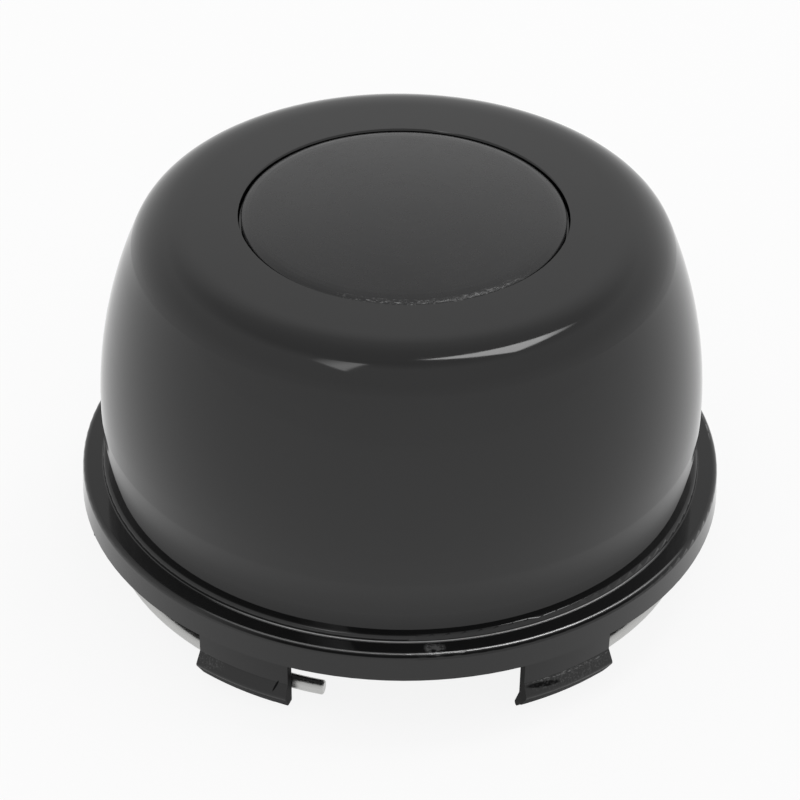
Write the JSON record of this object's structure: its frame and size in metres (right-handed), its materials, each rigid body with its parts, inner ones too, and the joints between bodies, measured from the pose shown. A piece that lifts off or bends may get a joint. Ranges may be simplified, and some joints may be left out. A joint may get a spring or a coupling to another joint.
{
  "type": "wheel centre cap",
  "caption": "Domed black push-in cap for a wheel's open centre bore, with a flat badge in its crown, a stepped flange, snap tabs and a sprung wire ring.",
  "frame": {"origin": "on the cap's axis, in the plane where the underside of the flange meets the wheel", "axes": "+Z points out of the wheel through the crown; -Y is the side of the gap where one cut end of the wire shows"},
  "size_m": [0.1145, 0.1144, 0.0687],
  "materials": {
    "shell": "moulded black plastic with an even soft gloss",
    "badge": "satin black lacquer with a bare cut rim",
    "adhesive": "matt grey foam tape",
    "spring_wire": "bright drawn spring steel"
  },
  "bodies": {
    "root": {"cap_shell": "shell", "badge_disc": "badge", "badge_adhesive": "adhesive", "retaining_ring": "spring_wire"}
  },
  "joints": []
}
